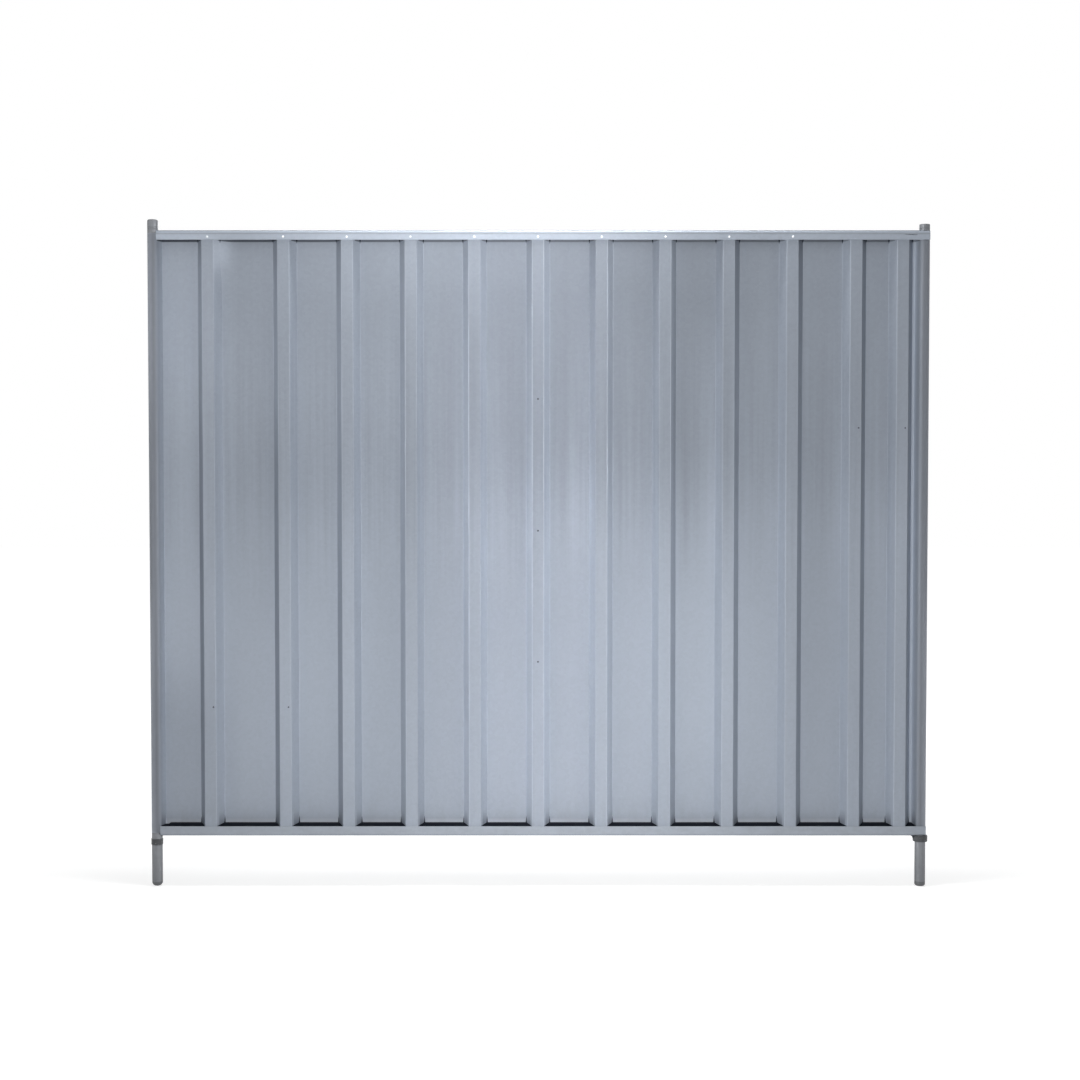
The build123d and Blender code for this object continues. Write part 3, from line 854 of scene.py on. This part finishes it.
regular_sheet("left_sheet_folded", "left_sheet", left_lap_x, left_rib_xs, centre_lap_x)
regular_sheet("right_sheet_folded", "right_sheet", centre_lap_x, right_rib_xs, right_lap_x)
folded_sheet(
    "left_strip_folded",
    "left_strip",
    post_wrap(left_post_x, 1)[::-1] + under_lap(left_lap_x),
    foot_line([notch_side(left_notch_x - post_notch_run, left_notch_x, slit=False)], [left_of(left_lap_x)]),
    head_line([left_lap_x - rib_half]),
)
folded_sheet(
    "right_strip_folded",
    "right_strip",
    over_lap(right_lap_x) + rib_corners(last_rib_x) + post_wrap(right_post_x, -1),
    foot_line(
        [right_of(right_lap_x), right_of(last_rib_x)],
        [left_of(last_rib_x), notch_side(right_notch_x + post_notch_run, right_notch_x, slit=False)],
    ),
    head_line([right_lap_x + rib_half, last_rib_x - rib_half, last_rib_x + rib_half]),
)

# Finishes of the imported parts
for subpart in frame["record"]["subparts"]:
    node = frame["nodes"][subpart["node"]]
    node.data.materials.clear()
    node.data.materials.append(finishes[subpart["material_slot"]])


# Floor, surroundings and lamps

def seen_directly(tree):
    """1 for rays from the camera, or from a mirror or glass in view, and 0 for other light."""
    path = add_node(tree, "ShaderNodeLightPath").outputs
    mirrored = calc(tree, "MAXIMUM", path["Is Glossy Ray"], path["Is Transmission Ray"])
    return calc(tree, "MAXIMUM", path["Is Camera Ray"], mirrored)


def pale_floor():
    """A wide plain floor that goes over into the white background and keeps a faint shadow of the panel."""
    bpy.ops.mesh.primitive_plane_add(size=2 * floor_half_width)
    floor = bpy.context.object
    floor.name = "floor"
    material, tree, shader = new_material("floor_white")
    shader.inputs["Base Color"].default_value = floor_colour
    shader.inputs["Roughness"].default_value = floor_rough
    shader.inputs["Specular IOR Level"].default_value = 0.0
    shader.inputs["Emission Color"].default_value = white
    place = frame_place(tree)
    distance = add_node(tree, "ShaderNodeVectorMath", {0: place}, operation="LENGTH").outputs["Value"]
    level = remap(tree, distance, floor_near_reach, (floor_near_glow, floor_glow))
    to_camera = add_node(tree, "ShaderNodeLightPath").outputs["Is Camera Ray"]
    level = remap(tree, to_camera, (0.0, 1.0), (floor_glow, level))
    glow = calc(tree, "MULTIPLY", seen_directly(tree), level)
    tree.links.new(glow, shader.inputs["Emission Strength"])
    floor.data.materials.append(material)


def white_surroundings():
    """A white background, dimmer for the light that it throws on the panel."""
    world = bpy.data.worlds.new("surroundings")
    world.use_nodes = True
    tree = world.node_tree
    background = tree.nodes["Background"]
    background.inputs["Color"].default_value = white
    level = remap(tree, seen_directly(tree), (0.0, 1.0), (ambient_level, background_level))
    tree.links.new(level, background.inputs["Strength"])
    bpy.context.scene.world = world


def hang_lamp(name, lamp, place, aim):
    """A lamp put in its place, pointed along a direction and kept out of the picture."""
    holder = bpy.data.objects.new(name, lamp)
    bpy.context.scene.collection.objects.link(holder)
    holder.location = place
    holder.rotation_euler = aim.to_track_quat("-Z", "Y").to_euler()
    holder.visible_camera = False


def soft_lamp(name, place, target, size, watts, spread=180.0, shadows=True):
    """An area lamp aimed at a point, held to a beam where its spread in degrees is narrow."""
    lamp = bpy.data.lights.new(name, "AREA")
    lamp.shape = "RECTANGLE"
    lamp.size, lamp.size_y = size
    lamp.energy = watts
    lamp.spread = radians(spread)
    lamp.use_shadow = shadows
    hang_lamp(name, lamp, place, Vector(target) - Vector(place))


def side_strip(name, side, watts):
    """A narrow upright fill beside the panel, aimed at the middle ribs."""
    across, depth, up = side_place
    place = (side * across, depth, up)
    target = (0.0, 0.0, strip_lamp_target_z)
    soft_lamp(name, place, target, strip_lamp_size, watts, strip_lamp_spread, shadows=False)


def side_graze(name, side, target_x, watts):
    """A thin upright fill far out at a side, for the slopes of the middle ribs that face it."""
    across, depth, up = graze_place
    place = (side * across, depth, up)
    target = (target_x, 0.0, up)
    soft_lamp(name, place, target, graze_size, watts, graze_spread, shadows=False)


def side_spot(name, side, edge_x, watts):
    """A fill spot beside the panel that lights it from the far end to an edge on the spot's own side."""
    spot = bpy.data.lights.new(name, "SPOT")
    spot.energy = watts
    spot.spot_size = radians(spot_cone)
    spot.spot_blend = spot_blend
    spot.shadow_soft_size = spot_radius
    spot.use_shadow = False
    across, depth, up = side_place
    edge_angle = atan2(-depth, across - edge_x)
    swing = edge_angle - radians(spot_cone) / 2
    aim = Vector((-side * cos(swing), sin(swing), 0.0))
    hang_lamp(name, spot, (side * across, depth, up), aim)


pale_floor()
white_surroundings()
soft_lamp("low_lamp", (0.0, -2.6, 0.3), (0.0, 0.0, 0.35), (3.0, 0.15), watts=0.72, spread=42.0)
soft_lamp("top_lamp", (0.0, -0.3, 4.6), (0.0, 0.0, 0.0), (1.4, 0.4), watts=16.0, spread=60.0)
soft_lamp("back_lamp", (0.0, 4.0, 2.6), (0.0, 0.0, 1.0), (4.0, 2.0), watts=90.0)

# Weak fills in front: name, place, target, size, watts and spread in degrees
front_fills = [
    ("head_fill", (-0.3, -2.6, 2.3), (-0.3, 0.0, 2.2), (1.2, 0.15), 0.4, 20.0),
    ("right_head_fill", (2.4, -2.4, 2.5), (-0.4, 0.0, 2.1), (0.3, 0.2), 0.8, 24.0),
    ("left_fill", (-3.4, -1.6, 2.4), (-0.8, 0.0, 1.7), (0.2, 0.4), 0.32, 20.0),
    ("left_head_fill", (-1.2, -2.6, 2.4), (0.95, 0.0, 2.08), (0.3, 0.2), 0.23, 16.0),
    ("left_end_fill", (-1.5, -3.6, 1.4), (-1.17, 0.0, 1.4), (0.2, 1.5), 0.22, 8.0),
    ("left_mid_fill", (0.2, -3.6, 0.75), (-0.76, 0.0, 0.75), (0.2, 0.8), 0.19, 12.0),
    ("right_mid_fill", (-0.2, -3.6, 0.75), (0.52, 0.0, 0.75), (0.2, 0.8), 0.19, 12.0),
    ("right_end_fill", (1.5, -3.6, 1.3), (1.19, 0.0, 1.2), (0.2, 1.2), 0.16, 14.0),
]
for name, place, target, size, watts, spread in front_fills:
    soft_lamp(name, place, target, size, watts, spread, shadows=False)

side_strip("left_strip_lamp", -1, watts=0.45)
side_strip("right_strip_lamp", 1, watts=0.15)
side_graze("left_graze", -1, target_x=-0.1, watts=0.36)
side_graze("right_graze", 1, target_x=0.05, watts=0.5)
side_spot("left_near_spot", -1, near_edge_x, watts=238.0)
side_spot("left_far_spot", -1, far_edge_x, watts=123.0)
side_spot("right_near_spot", 1, near_edge_x, watts=181.0)
side_spot("right_far_spot", 1, far_edge_x, watts=116.0)

camera = bpy.data.objects.new("camera", bpy.data.cameras.new("camera"))
bpy.context.scene.collection.objects.link(camera)
camera.location = camera_place
camera.rotation_euler = (pi / 2 - camera_tilt_down, 0.0, 0.0)
camera.data.lens = camera_lens_mm
camera.data.sensor_width = camera_sensor_mm
bpy.context.scene.camera = camera
bpy.context.scene.view_settings.view_transform = "Standard"
